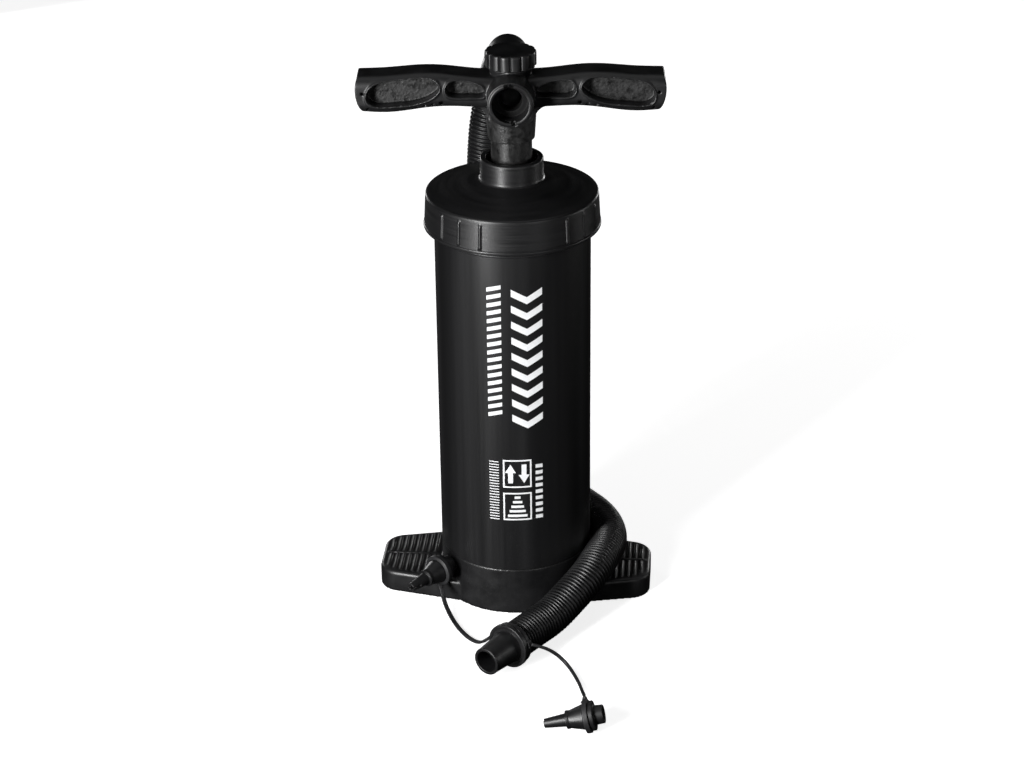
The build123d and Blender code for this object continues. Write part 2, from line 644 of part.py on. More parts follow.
# ---- all nodes ----------------------------------------------------------------------
os.makedirs("parts", exist_ok=True)
save(
    foot_base=foot_base(),
    base_seal=base_seal(),
    base_bumper=base_bumper(),
    barrel_tube=barrel_tube(),
    screw_cap=screw_cap(),
    cap_gasket=cap_gasket(),
    gland_bush=gland_bush(),
    gland_seal=gland_seal(),
    rod_wiper=rod_wiper(),
)
save(
    piston_lower_plate=piston_plate(PISTON_Z, PISTON_Z + 5, DIVIDER_Z, 0),
    piston_divider=piston_divider(),
    piston_upper_plate=piston_plate(UPPER_PLATE_Z, DIVIDER_Z + PLATE_THICK, UPPER_PLATE_Z, ROD_R + 0.05),
    piston_seal=piston_seal(),
    piston_screws=piston_screws(),
    upper_intake_flap=flap(INTAKE_CIRCLE_R, UPPER_PLATE_Z + PLATE_THICK),
    lower_intake_flap=flap(INTAKE_CIRCLE_R, PISTON_Z - FLAP_THICK),
    upper_delivery_flap=flap(DELIVERY_CIRCLE_R, UPPER_PLATE_Z - FLAP_THICK),
    lower_delivery_flap=flap(DELIVERY_CIRCLE_R, PISTON_Z + PLATE_THICK),
    rod_tube=rod_tube(),
    inner_tube=ring(INNER_TUBE_R, INNER_TUBE_BORE_R, DIVIDER_Z - 2, 426.0),
    rod_bumper=rod_bumper(),
    delivery_elbow=delivery_elbow(),
    handle=handle(),
    handle_pins=handle_pins(),
    selector_cap=selector_cap(),
    selector_gasket=selector_gasket(),
)
save(
    hose_elbow=hose_elbow(),
    port_seal=port_seal(),
    hose=cord_solid("hose", HOSE_ROUTE, HOSE_OD / 2, HOSE_ID / 2),
    hose_connector=hose_connector(),
    tether_ring=tether_ring(),
    left_strap=cord_solid("left strap", LEFT_STRAP, STRAP_D / 2),
    right_strap=cord_solid("right strap", RIGHT_STRAP, STRAP_D / 2),
    left_adapter=adapter(LEFT_ADAPTER),
    right_adapter=adapter(RIGHT_ADAPTER),
    left_collar=adapter_collar(LEFT_ADAPTER),
    right_collar=adapter_collar(RIGHT_ADAPTER),
)
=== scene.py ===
import json
import math

import bmesh
import bpy
import numpy as np
from mathutils import Matrix, Vector, noise
from mathutils.kdtree import KDTree


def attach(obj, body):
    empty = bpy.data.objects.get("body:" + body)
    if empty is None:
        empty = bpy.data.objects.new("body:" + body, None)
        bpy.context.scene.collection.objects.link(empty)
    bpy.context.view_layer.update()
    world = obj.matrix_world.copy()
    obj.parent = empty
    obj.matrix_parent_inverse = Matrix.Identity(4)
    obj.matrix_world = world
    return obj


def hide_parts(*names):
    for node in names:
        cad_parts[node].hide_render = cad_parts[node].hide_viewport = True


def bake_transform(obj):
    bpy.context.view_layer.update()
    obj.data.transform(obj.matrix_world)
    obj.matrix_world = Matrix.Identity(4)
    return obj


# Looks for the double action hand pump, in metres, in the CAD frame: origin on the floor
# at the barrel's axis, +Z up, handle along X, inlet port facing -Y.

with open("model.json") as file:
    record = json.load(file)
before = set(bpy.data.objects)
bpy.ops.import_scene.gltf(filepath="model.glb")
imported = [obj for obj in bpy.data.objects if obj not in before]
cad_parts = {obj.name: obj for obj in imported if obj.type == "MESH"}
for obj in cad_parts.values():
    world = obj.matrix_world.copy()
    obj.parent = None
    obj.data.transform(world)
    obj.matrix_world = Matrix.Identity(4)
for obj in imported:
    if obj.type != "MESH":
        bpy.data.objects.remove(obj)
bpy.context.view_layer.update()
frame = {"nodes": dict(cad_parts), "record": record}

# ---- sizes --------------------------------------------------------------------------
HOSE_OD = 0.031            # the same as in the CAD
HOSE_PITCH = 0.0033        # corrugation pitch
HOSE_RIB_DEPTH = 0.0024
HOSE_RIB_POWER = 0.9       # under 1 the grooves are narrower than the ribs
STRAP_WIDTH = 0.0036
STRAP_THICK = 0.0022
LEASH_POINTS = 160
PORT_Z = 0.436             # axis of the handle's ports, the same as in the CAD

# The hose hangs behind the barrel, comes round its +X side over the foot, and lies down in front.
HOSE_ROUTE = [
    (-0.0131, 0.0977, 0.4073),
    (-0.0195, 0.0943, 0.3870),
    (-0.0235, 0.0932, 0.3450),
    (-0.0245, 0.0942, 0.2930),
    (-0.0220, 0.0955, 0.2410),
    (-0.0185, 0.0970, 0.1890),
    (-0.0240, 0.1020, 0.1447),
    (-0.0214, 0.1037, 0.1064),
    (-0.0047, 0.0975, 0.0723),
    (0.0219, 0.0840, 0.0483),
    (0.0519, 0.0630, 0.0378),
    (0.0741, 0.0322, 0.0369),
    (0.0803, -0.0053, 0.0370),
    (0.0693, -0.0414, 0.0382),
    (0.0584, -0.0642, 0.0339),
    (0.0444, -0.0820, 0.0272),
    (0.0294, -0.1002, 0.0198),
    (0.0131, -0.1181, 0.0186),
    (-0.0033, -0.1403, 0.0186),
]
LEFT_STRAP = [
    (-0.0182, -0.1276, 0.0186),
    (-0.0235, -0.1230, 0.0115),
    (-0.0290, -0.1160, 0.0046),
    (-0.0365, -0.1063, 0.0021),
    (-0.0448, -0.0930, 0.0020),
    (-0.0510, -0.0785, 0.0021),
    (-0.0560, -0.0645, 0.0032),
    (-0.0600, -0.0540, 0.0076),
    (-0.0628, -0.0470, 0.0176),
]
RIGHT_STRAP = [
    (0.0135, -0.1499, 0.0244),
    (0.0210, -0.1495, 0.0220),
    (0.0282, -0.1460, 0.0166),
    (0.0355, -0.1440, 0.0096),
    (0.0420, -0.1475, 0.0040),
    (0.0470, -0.1580, 0.0021),
    (0.0512, -0.1720, 0.0020),
    (0.0534, -0.1860, 0.0036),
    (0.0545, -0.1990, 0.0090),
    (0.0548, -0.2110, 0.0158),
    (0.0547, -0.2224, 0.0210),
]

# ---- camera -------------------------------------------------------------------------
CAMERA_PLACE = (0.0283, -1.7998, 1.0634)
CAMERA_DOWN = 0.4556       # radians below level
CAMERA_TURN = 0.0168       # radians to the left of +Y
CAMERA_ROLL = -0.0124
CAMERA_LENS = 85.8


def make_camera():
    """Camera at the viewing angle, set from its place, turn, tilt and roll."""
    level = math.cos(CAMERA_DOWN)
    look = Vector((-math.sin(CAMERA_TURN) * level,
                   math.cos(CAMERA_TURN) * level,
                   -math.sin(CAMERA_DOWN)))
    right = look.cross(Vector((0, 0, 1))).normalized()
    up = right.cross(look)
    rolled_right = math.cos(CAMERA_ROLL) * right + math.sin(CAMERA_ROLL) * up
    rolled_up = -math.sin(CAMERA_ROLL) * right + math.cos(CAMERA_ROLL) * up
    turn = Matrix((rolled_right, rolled_up, -look)).transposed()
    data = bpy.data.cameras.new("camera")
    data.lens = CAMERA_LENS
    data.sensor_width = 36.0
    data.clip_end = 50.0
    camera = bpy.data.objects.new("camera", data)
    camera.matrix_world = Matrix.Translation(CAMERA_PLACE) @ turn.to_4x4()
    bpy.context.collection.objects.link(camera)
    bpy.context.scene.camera = camera


# ---- mesh helpers -------------------------------------------------------------------
def new_piece(name, points, faces, smooth=True):
    """Mesh object from points and faces."""
    mesh = bpy.data.meshes.new(name)
    mesh.from_pydata([tuple(p) for p in points], [], faces)
    mesh.validate()
    if smooth:
        mesh.shade_smooth()
    else:
        mesh.shade_flat()
    piece = bpy.data.objects.new(name, mesh)
    bpy.context.collection.objects.link(piece)
    return piece


def smooth_line(route):
    """Points along the NURBS spline that has the route as its control points."""
    curve = bpy.data.curves.new("line", "CURVE")
    curve.dimensions = "3D"
    spline = curve.splines.new("NURBS")
    spline.points.add(len(route) - 1)
    for point, place in zip(spline.points, route):
        point.co = (*place, 1.0)
    spline.order_u = 3
    spline.use_endpoint_u = True
    spline.resolution_u = 24
    holder = bpy.data.objects.new("line", curve)
    mesh = bpy.data.meshes.new_from_object(holder)
    line = np.array([v.co for v in mesh.vertices])
    bpy.data.objects.remove(holder)
    bpy.data.curves.remove(curve)
    bpy.data.meshes.remove(mesh)
    return line


def line_length(line):
    """Length of a line of points."""
    return float(np.linalg.norm(np.diff(line, axis=0), axis=1).sum())


def evenly(line, count):
    """The line resampled to count points an equal distance apart."""
    steps = np.linalg.norm(np.diff(line, axis=0), axis=1)
    along = np.concatenate([[0.0], np.cumsum(steps)])
    wanted = np.linspace(0.0, along[-1], count)
    return np.stack([np.interp(wanted, along, line[:, k]) for k in range(3)], axis=1)


def carried_frames(line, first_side):
    """Side and up at each point, with the side carried along the line without twist."""
    tangents = np.gradient(line, axis=0)
    tangents /= np.linalg.norm(tangents, axis=1)[:, None]
    side = np.array(first_side, float)
    sides = []
    for tangent in tangents:
        side = side - tangent * (side @ tangent)
        side /= np.linalg.norm(side)
        sides.append(side)
    sides = np.array(sides)
    return sides, np.cross(tangents, sides)


def tube_faces(rings, segments):
    """Quads that join rings of points, with a cap over each end."""
    faces = []
    for i in range(rings - 1):
        low = i * segments
        high = low + segments
        for j in range(segments):
            k = (j + 1) % segments
            faces.append((low + j, low + k, high + k, high + j))
    faces.append(tuple(reversed(range(segments))))
    faces.append(tuple((rings - 1) * segments + j for j in range(segments)))
    return faces


# ---- hose and leashes ---------------------------------------------------------------
def corrugated_hose():
    """The hose: narrow grooves between rounded ribs, all along its line."""
    line = smooth_line(HOSE_ROUTE)
    steps_per_rib = 8
    ribs = round(line_length(line) / HOSE_PITCH)
    centres = evenly(line, ribs * steps_per_rib + 1)
    sides, ups = carried_frames(centres, (1, 0, 0))
    segments = 56
    angles = np.linspace(0, 2 * math.pi, segments, endpoint=False)
    phase = np.arange(len(centres)) / steps_per_rib
    groove = 1 - np.abs(np.sin(math.pi * phase)) ** HOSE_RIB_POWER
    radius = HOSE_OD / 2 - HOSE_RIB_DEPTH * groove
    around = (np.cos(angles)[None, :, None] * sides[:, None, :]
              + np.sin(angles)[None, :, None] * ups[:, None, :])
    points = centres[:, None, :] + radius[:, None, None] * around
    faces = tube_faces(len(centres), segments)
    hose = new_piece("hose_corrugated", points.reshape(-1, 3), faces)
    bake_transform(hose)
    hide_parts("hose")
    return hose, centres


def leash(name, route, node, first_side):
    """A flat leash with two fine grooves along each face."""
    line = smooth_line(route)
    centres = evenly(line, LEASH_POINTS)
    sides, ups = carried_frames(centres, first_side)
    half_w = STRAP_WIDTH / 2
    half_t = STRAP_THICK / 2
    face = [(-1.0, 0.35), (-0.88, 0.85), (-0.72, 1.0), (-0.45, 1.0), (-0.36, 0.72), (-0.27, 1.0),
            (0.27, 1.0), (0.36, 0.72), (0.45, 1.0), (0.72, 1.0), (0.88, 0.85), (1.0, 0.35)]
    section = face + [(-a, -b) for a, b in face]
    points = [centre + side * a * half_w + up * b * half_t
              for centre, side, up in zip(centres, sides, ups) for a, b in section]
    strap = new_piece(name, points, tube_faces(len(centres), len(section)))
    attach(strap, "barrel")
    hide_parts(node)
    return strap, centres


make_camera()
hose, hose_line = corrugated_hose()
left_leash, left_line = leash("left_leash", LEFT_STRAP, "left_strap", (-0.6, -0.7, 0.3))
right_leash, right_line = leash("right_leash", RIGHT_STRAP, "right_strap", (0.2, -0.7, 0.6))


# ---- shape helpers ------------------------------------------------------------------
def place_piece(piece, body, slot, *nodes):
    """Ride on a body and stand for CAD nodes; the slot argument is not used."""
    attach(piece, body)
    if nodes:
        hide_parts(*nodes)
    return piece


def rounded(outline, spots):
    """Outline with chosen corners, {index: radius}, rounded by short runs."""
    points = []
    for i, corner in enumerate(outline):
        corner = np.array(corner, float)
        if i not in spots:
            points.append(corner)
            continue
        before = np.array(outline[i - 1], float) - corner
        after = np.array(outline[(i + 1) % len(outline)], float) - corner
        start = corner + before / np.linalg.norm(before) * spots[i]
        end = corner + after / np.linalg.norm(after) * spots[i]
        for t in np.linspace(0, 1, 7):
            points.append((1 - t) ** 2 * start + 2 * t * (1 - t) * corner + t * t * end)
    return np.array(points)


def lathe(name, outline, segments, bulge=None):
    """Closed solid of revolution from an (r, z) outline in mm, with an optional extra radius."""
    angles = np.linspace(0, 2 * math.pi, segments, endpoint=False)
    points = []
    for angle in angles:
        for r, z in outline:
            reach = r + (bulge(r, z, angle) if bulge else 0.0)
            points.append((reach * math.cos(angle) / 1000, reach * math.sin(angle) / 1000, z / 1000))
    count = len(outline)
    faces = []
    for i in range(segments):
        j = (i + 1) % segments
        for k in range(count):
            m = (k + 1) % count
            faces.append((i * count + k, j * count + k, j * count + m, i * count + m))
    piece = new_piece(name, points, faces)
    tidy_normals(piece)
    return piece


def tidy_normals(piece, angle=40):
    """Outward normals, and sharp edges above an angle."""
    form = bmesh.new()
    form.from_mesh(piece.data)
    bmesh.ops.recalc_face_normals(form, faces=form.faces)
    form.to_mesh(piece.data)
    form.free()
    piece.data.set_sharp_from_angle(angle=math.radians(angle))


def softened(name, node, voxel, rounds):
    """A copy of a CAD node's mesh, welded, remeshed in voxels and smoothed to round its edges."""
    form = bmesh.new()
    form.from_mesh(frame["nodes"][node].data)
    bmesh.ops.remove_doubles(form, verts=form.verts, dist=1e-6)
    mesh = bpy.data.meshes.new(name)
    form.to_mesh(mesh)
    form.free()
    piece = bpy.data.objects.new(name, mesh)
    bpy.context.collection.objects.link(piece)
    remesh = piece.modifiers.new("remesh", "REMESH")
    remesh.mode = "VOXEL"
    remesh.voxel_size = voxel
    smooth = piece.modifiers.new("smooth", "SMOOTH")
    smooth.iterations = rounds
    smooth.factor = 0.5
    graph = bpy.context.evaluated_depsgraph_get()
    result = bpy.data.meshes.new_from_object(piece.evaluated_get(graph))
    piece.modifiers.clear()
    piece.data = result
    bpy.data.meshes.remove(mesh)
    piece.data.materials.clear()
    piece.data.shade_smooth()
    return piece


def closed_curve(points, steps=14):
    """Closed smooth curve through 2-D points."""
    ring_points = np.array(points, float)
    count = len(ring_points)
    curve = []
    for i in range(count):
        p0, p1, p2, p3 = (ring_points[(i + k) % count] for k in (-1, 0, 1, 2))
        for t in np.linspace(0, 1, steps, endpoint=False):
            curve.append(0.5 * (2 * p1 + (p2 - p0) * t + (2 * p0 - 5 * p1 + 4 * p2 - p3) * t * t
                                + (3 * p1 - p0 - 3 * p2 + p3) * t ** 3))
    return np.array(curve)


# ---- barrel, cap and selector -------------------------------------------------------
RIB_DIRECTIONS = [-125.9 + 90 * group + 15.5 * place for group in range(4) for place in (-1, 0, 1)]
RIB_LOW = 328.5
RIB_HIGH = 349.0
RIB_RUNOUT = 1.2           # each rib rises over this length at its ends
RIB_HALF_WIDTH = 1.35
RIB_OUT = 1.15             # how far a rib stands out of the skirt
RIB_SKIRT_R = 70.0
SKIRT_INSIDE_R = 68.0      # ribs stand only on points outside this radius
SELECTOR_FLUTES = 14
FLUTED_FROM_R = 18.0
FLUTE_DEPTH = 1.5
FLUTE_WIDTH = 0.085        # as a share of the flutes' pitch
BAR_CROWN = 0.25


def barrel_shell():
    """Barrel wall with an eased lower edge and a thin bead under the cap."""
    outline = rounded([(60.0, 41.35), (62.5, 41.35), (62.5, 319.8), (63.25, 320.3), (63.25, 321.7),
                       (62.5, 322.2), (62.5, 345.9), (60.0, 345.9)], {1: 0.7, 3: 0.25, 4: 0.25})
    shell = lathe("barrel_shell", outline, 256)
    return place_piece(shell, "barrel", "barrel_plastic", "barrel_tube")


def cap_rib(r, z, angle):
    """Extra radius of the screw cap where a half-round grip rib stands."""
    if r < SKIRT_INSIDE_R or not RIB_LOW <= z <= RIB_HIGH:
        return 0.0
    ends = min(1.0, (z - RIB_LOW) / RIB_RUNOUT, (RIB_HIGH - z) / RIB_RUNOUT)
    for direction in RIB_DIRECTIONS:
        off = (math.degrees(angle) - direction + 180) % 360 - 180
        across = abs(math.radians(off)) * RIB_SKIRT_R / RIB_HALF_WIDTH
        if across < 1.0:
            return RIB_OUT * math.sqrt(1 - across * across) * math.sqrt(max(0.0, ends))
    return 0.0


def screw_cap_shell():
    """Screw cap: lower lip, ribbed skirt, rounded rim, shallow dome and rod collar."""
    skirt = [(70.1 - (z - 328.0) * 0.055, z) for z in np.linspace(328.0, 349.6, 24)]
    outline = rounded(
        [(66.0, 325.0), (70.75, 325.0), (70.75, 327.4), *skirt, (68.75, 353.0), (66.0, 353.3),
         (48.0, 358.4), (30.0, 362.3), (25.2, 363.4), (25.2, 381.0), (20.4, 381.0), (20.4, 371.2),
         (20.4, 349.0), (24.6, 349.0), (24.6, 360.0), (57.0, 351.5), (57.0, 348.0), (66.0, 348.0)],
        {1: 0.8, 2: 0.5, 27: 2.2, 31: 2.4, 32: 1.9, 33: 1.2})
    shell = lathe("screw_cap_shell", outline, 1080, cap_rib)
    return place_piece(shell, "barrel", "black_plastic", "screw_cap")


def selector_bar(r, z, angle):
    """Broad flat bars with narrow grooves between them."""
    if r < FLUTED_FROM_R:
        return 0.0
    turn = (angle * SELECTOR_FLUTES / (2 * math.pi) + 0.5) % 1.0 - 0.5
    bar = -FLUTE_DEPTH * math.exp(-((0.5 - abs(turn)) / FLUTE_WIDTH) ** 2)
    return bar + BAR_CROWN * math.cos(2 * math.pi * turn)


def selector_knob():
    """Fluted selector cap with a rounded edge and a faint dish on top."""
    sides = [(19.9, z) for z in np.linspace(457.0, 465.8, 10)]
    outline = rounded([(16.75, 456.5), (19.9, 456.5), *sides, (19.9, 468.0), (13.0, 467.6),
                       (0.01, 467.2), (0.01, 465.5), (16.75, 465.5)], {12: 1.6})
    knob = lathe("selector_knob", outline, 560, selector_bar)
    return place_piece(knob, "selector", "black_plastic", "selector_cap")


# ---- handle -------------------------------------------------------------------------
LONG_POCKET = [(55.4, 442.6), (58.6, 448.0), (66.0, 450.0), (80.0, 449.4), (96.0, 447.6), (105.5, 444.6),
               (110.2, 439.0), (110.4, 432.6), (106.0, 429.0), (92.0, 428.7), (78.0, 429.8), (65.0, 433.4),
               (58.0, 437.8)]
SHORT_POCKET = [(49.6, 441.8), (47.0, 446.8), (42.5, 448.0), (34.0, 447.4), (26.0, 445.2), (20.8, 441.6),
                (19.4, 438.2), (21.8, 436.0), (28.0, 435.6), (37.0, 435.5), (44.0, 435.7), (48.2, 437.4)]
FACE_Y = 0.0145            # beyond this depth a point is on the grip's front or back face
FLOOR_Y = 0.0088           # within this depth a point is on a pocket's floor
NOTCHES = ((84, 105), (274, 287))    # inlet port notches, in degrees from +X towards +Z
RIM_HEIGHT = 0.0012
RIM_WIDTH = 0.0009
RIM_OFFSET = 0.0011
HUB_HALF = 0.0195          # nearer the axis than this is the hub, beyond it are the grips
NOTCH_INNER_R = 0.0136
NOTCH_OUTER_R = 0.0168
NOTCH_FACE_Y = -0.0350     # points in front of this are on the inlet port's face
NOTCH_DEPTH = 0.0030
WEB_Y = 0.0068             # pocket floors lie between this depth and FLOOR_Y
ROUGH_REACH = 0.012        # floors are rough this near to a pocket's outline
ROUGH_SCALE = 300.0
ROUGH_HEIGHT = 0.00026
POCKET_FROM_X = 0.0205
POCKET_LOW = 0.4285
POCKET_HIGH = 0.4495
SLEEVE_TOP = 0.4275
SLEEVE_R = 0.0205
# Faces within this stretch of the inlet port's bore get a material with painted shade.
BORE_FRONT_Y = -0.0374
BORE_BACK_Y = -0.010
BORE_R = 0.0139


def handle_moulding():
    """T handle: softened edges, a raised rim round each pocket, rough pocket floors, and painted shade
    inside the port's bore.
    """
    handle = softened("handle_moulding", "handle", 0.00058, 3)
    curves = [closed_curve([(side * x, z) for x, z in pocket]) / 1000
              for pocket in (LONG_POCKET, SHORT_POCKET) for side in (-1, 1)]
    samples = np.concatenate(curves)
    tree = KDTree(len(samples))
    for i, (x, z) in enumerate(samples):
        tree.insert((x, 0, z), i)
    tree.balance()
    for vertex in handle.data.vertices:
        x, y, z = vertex.co
        if abs(x) < HUB_HALF:
            turn = math.degrees(math.atan2(z - PORT_Z, x)) % 360
            in_notch = any(low < turn < high for low, high in NOTCHES)
            reach = math.hypot(x, z - PORT_Z)
            if y < NOTCH_FACE_Y and in_notch and NOTCH_INNER_R < reach < NOTCH_OUTER_R:
                vertex.co.y += NOTCH_DEPTH
            continue
        distance = tree.find((x, 0, z))[2]
        if abs(y) > FACE_Y:
            lift = RIM_HEIGHT * math.exp(-((distance - RIM_OFFSET) / RIM_WIDTH) ** 2)
            vertex.co.y += math.copysign(lift, y)
        elif WEB_Y < abs(y) < FLOOR_Y and distance < ROUGH_REACH:
            rough = noise.fractal(vertex.co * ROUGH_SCALE, 0.6, 2.0, 3)
            vertex.co.y += math.copysign(ROUGH_HEIGHT * rough, y)
    for look in (grip_black, pocket_rough, sleeve_rough, bore_matt_painted_shade):
        handle.data.materials.append(look)
    for face in handle.data.polygons:
        x, y, z = face.center
        if abs(x) > POCKET_FROM_X and abs(y) < FLOOR_Y and POCKET_LOW < z < POCKET_HIGH:
            face.material_index = 1
        elif z < SLEEVE_TOP and math.hypot(x, y) < SLEEVE_R:
            face.material_index = 2
        # Faces inside the port's bore take the material with painted shade: darker colour and weak
        # specular for the recess.
        if BORE_FRONT_Y < y < BORE_BACK_Y and math.hypot(x, z - PORT_Z) < BORE_R:
            face.material_index = 3
    return place_piece(handle, "plunger", "black_plastic", "handle")


# ---- foot ---------------------------------------------------------------------------
FOOT_TURN = math.radians(-4.0)
TREAD_XS = [106.0 - 5.3 * i for i in range(8)]
TREAD_HALF_WIDTH = 1.25
TREAD_LOW = 18.2
TREAD_TOP = 19.45
TREAD_INSET = 4.5          # gap between a tread's end and the wing's edge
TREAD_GAP = 1.9            # half the gap at the wing's middle, where the long tread runs
WING_ROOT_HALF = 55.0
WING_TIP_HALF = 29.4
WING_REACH = 114.0
TIP_FROM = 99.0            # beyond this the wing's corner rounds off
TIP_SLOPE = 1.3


def tread_bar(start, end):
    """Points and faces of a rounded bar between two (x, y) places on a wing."""
    start = np.array(start, float)
    end = np.array(end, float)
    along = (end - start) / np.linalg.norm(end - start)
    side = np.array([-along[1], along[0]])
    section = [(-1.0, TREAD_LOW), (-0.9, TREAD_TOP - 0.3), (-0.55, TREAD_TOP), (0.55, TREAD_TOP),
               (0.9, TREAD_TOP - 0.3), (1.0, TREAD_LOW)]
    points = []
    for place, narrow in ((start, 0.6), (start + along * 0.8, 1.0), (end - along * 0.8, 1.0), (end, 0.6)):
        for a, z in section:
            x, y = place + side * a * narrow * TREAD_HALF_WIDTH
            points.append((x, y, TREAD_LOW + (z - TREAD_LOW) * (0.75 + 0.25 * (narrow == 1.0))))
    return points, tube_faces(4, len(section))


def foot_treads():
    """Ridges across both wings and one along the middle of each."""
    points = []
    faces = []
    for side in (-1, 1):
        bars = []
        for x in TREAD_XS:
            taper = (WING_ROOT_HALF - WING_TIP_HALF) * x / WING_REACH
            reach = WING_ROOT_HALF - TREAD_INSET - taper - max(0.0, x - TIP_FROM) * TIP_SLOPE
            bars.append(((side * x, -reach), (side * x, -TREAD_GAP)))
            bars.append(((side * x, TREAD_GAP), (side * x, reach)))
        bars.append(((side * 66.0, 0.0), (side * 108.5, 0.0)))
        for start, end in bars:
            bar_points, bar_faces = tread_bar(start, end)
            offset = len(points)
            points += bar_points
            faces += [tuple(offset + i for i in face) for face in bar_faces]
    turn = Matrix.Rotation(FOOT_TURN, 3, "Z")
    treads = new_piece("foot_treads", [turn @ Vector(p) / 1000 for p in points], faces)
    tidy_normals(treads, 50)
    return place_piece(treads, "barrel", "black_plastic")


# ---- hose fittings ------------------------------------------------------------------
CONNECTOR_AXIS = Vector((-0.5931, -0.8051, 0.0))
COLLAR_CENTRES = {"left": (-0.0638, -0.0458, 0.0320), "right": (0.0565, -0.2346, 0.0129)}


def put_on_axis(piece, origin, axis):
    """Move a lathe's Z axis onto a line."""
    turn = Vector((0, 0, 1)).rotation_difference(axis)
    piece.data.transform(Matrix.Translation(origin) @ turn.to_matrix().to_4x4())


def nozzle():
    """Hose connector: rounded flange, tapered nozzle with a lipped mouth, and its tail."""
    outline = rounded([(8.8, -14.0), (12.4, -14.0), (12.4, 0.0), (18.5, 0.0), (18.5, 4.5), (16.2, 4.5),
                       (15.6, 3.9), (13.5, 3.9), (13.1, 6.0), (11.6, 27.0), (11.5, 32.2), (8.9, 32.2)],
                      {3: 1.2, 4: 0.8, 5: 0.3, 8: 0.8, 10: 0.9, 11: 0.6})
    piece = lathe("hose_nozzle", outline, 160)
    put_on_axis(piece, HOSE_ROUTE[-1], CONNECTOR_AXIS)
    return place_piece(piece, "barrel", "black_plastic", "hose_connector")


LIP_SECTION = [(14.05, -0.6), (14.05, 0.55), (14.5, 0.95), (16.3, 0.95), (16.9, 0.45), (17.1, -0.6)]
LIP_ARCS = {"left": (109, 272), "right": (289, 440)}   # degrees from +X towards +Z


def port_lip(name, first, last):
    """Raised lip round part of the inlet port's mouth, between its bayonet notches."""
    points = []
    turns = np.radians(np.linspace(first, last, 72))
    for turn in turns:
        points += [(r * math.cos(turn) / 1000, (-38.0 - out) / 1000, PORT_Z + r * math.sin(turn) / 1000)
                   for r, out in LIP_SECTION]
    lip = new_piece(name, points, tube_faces(len(turns), len(LIP_SECTION)))
    tidy_normals(lip, 60)
    return place_piece(lip, "plunger", "black_plastic")


def collar_tab(name, strap_line, collar_centre):
    """Flat tab that widens from the end of a leash into its collar."""
    end = Vector(strap_line[-1])
    run = (end - Vector(strap_line[-6])).normalized()
    inward = (Vector(collar_centre) - end).normalized()
    side = run.cross(inward).normalized()
    points = []
    for t in np.linspace(0, 1, 8):
        place = end + run * (-0.0025 * (1 - t)) + inward * (0.0028 * t)
        half_w = 0.0019 + 0.0019 * t * t
        heading = (run * (1 - t) + inward * t).normalized()
        up = side.cross(heading)
        for angle in np.linspace(0, 2 * math.pi, 16, endpoint=False):
            across = math.copysign(abs(math.cos(angle)) ** 0.6, math.cos(angle))
            points.append(place + side * across * half_w + up * math.sin(angle) * 0.0014)
    tab = new_piece(name, points, tube_faces(8, 16))
    tidy_normals(tab, 60)
    return place_piece(tab, "barrel", "soft_rubber")


# ---- printed graphic ----------------------------------------------------------------
INK_LOW = 62.46
INK_HIGH = 62.58
STRIP_EDGES = np.arange(-24.0, 27.0, 1.5)    # cuts that let the flat shapes bend with the barrel


def box_shape(x, z, width, height):
    """Rectangle by its centre."""
    return [(x - width / 2, z - height / 2), (x + width / 2, z - height / 2),
            (x + width / 2, z + height / 2), (x - width / 2, z + height / 2)]


def frame_shapes(x, z, width, height, line):
    """Four bars round a rectangle."""
    return [box_shape(x, z + height / 2, width + line, line),
            box_shape(x, z - height / 2, width + line, line),
            box_shape(x - width / 2, z, line, height - line),
            box_shape(x + width / 2, z, line, height - line)]


def chevron(x, z, width, rise, line):
    """Downward chevron."""
    half = width / 2
    return [(x - half, z + rise), (x, z), (x + half, z + rise),
            (x + half, z + rise + line), (x, z + line), (x - half, z + rise + line)]


def arrow(x, z, width, length, up):
    """Block arrow."""
    way = 1 if up else -1
    stem = width * 0.22
    head = length * 0.45
    neck = z + way * (length - head)
    return [(x - stem, z), (x + stem, z), (x + stem, neck), (x + width / 2, neck),
            (x, z + way * length), (x - width / 2, neck), (x - stem, neck)]


def graphic_shapes():
    """A plain pattern: a column of chevrons, a column of slanted bars, and a panel with arrows."""
    shapes = [chevron(11.5, 172.0 + 13.6 * i, 25.0, 7.0, 6.0) for i in range(9)]
    for i in range(17):
        low = 182.0 + 6.8 * i
        shapes.append([(-20.5, low), (-9.0, low + 3.2), (-9.0, low + 6.6), (-20.5, low + 3.4)])
    shapes += frame_shapes(2.5, 131.0, 22.0, 24.0, 1.3)
    shapes.append(arrow(-3.0, 122.5, 9.0, 17.0, True))
    shapes.append(arrow(8.0, 139.5, 9.0, 17.0, False))
    shapes += frame_shapes(2.5, 101.0, 22.0, 24.0, 1.3)
    shapes += [box_shape(2.5, 92.5 + 4.2 * i, 16.0 - 2.8 * i, 2.2) for i in range(5)]
    shapes += [box_shape(-16.5, 89.0 + 2.5 * i, 8.0, 0.8) for i in range(22)]
    shapes += [box_shape(20.5, 90.5 + 5.8 * i, 6.0, 3.2) for i in range(9)]
    return shapes


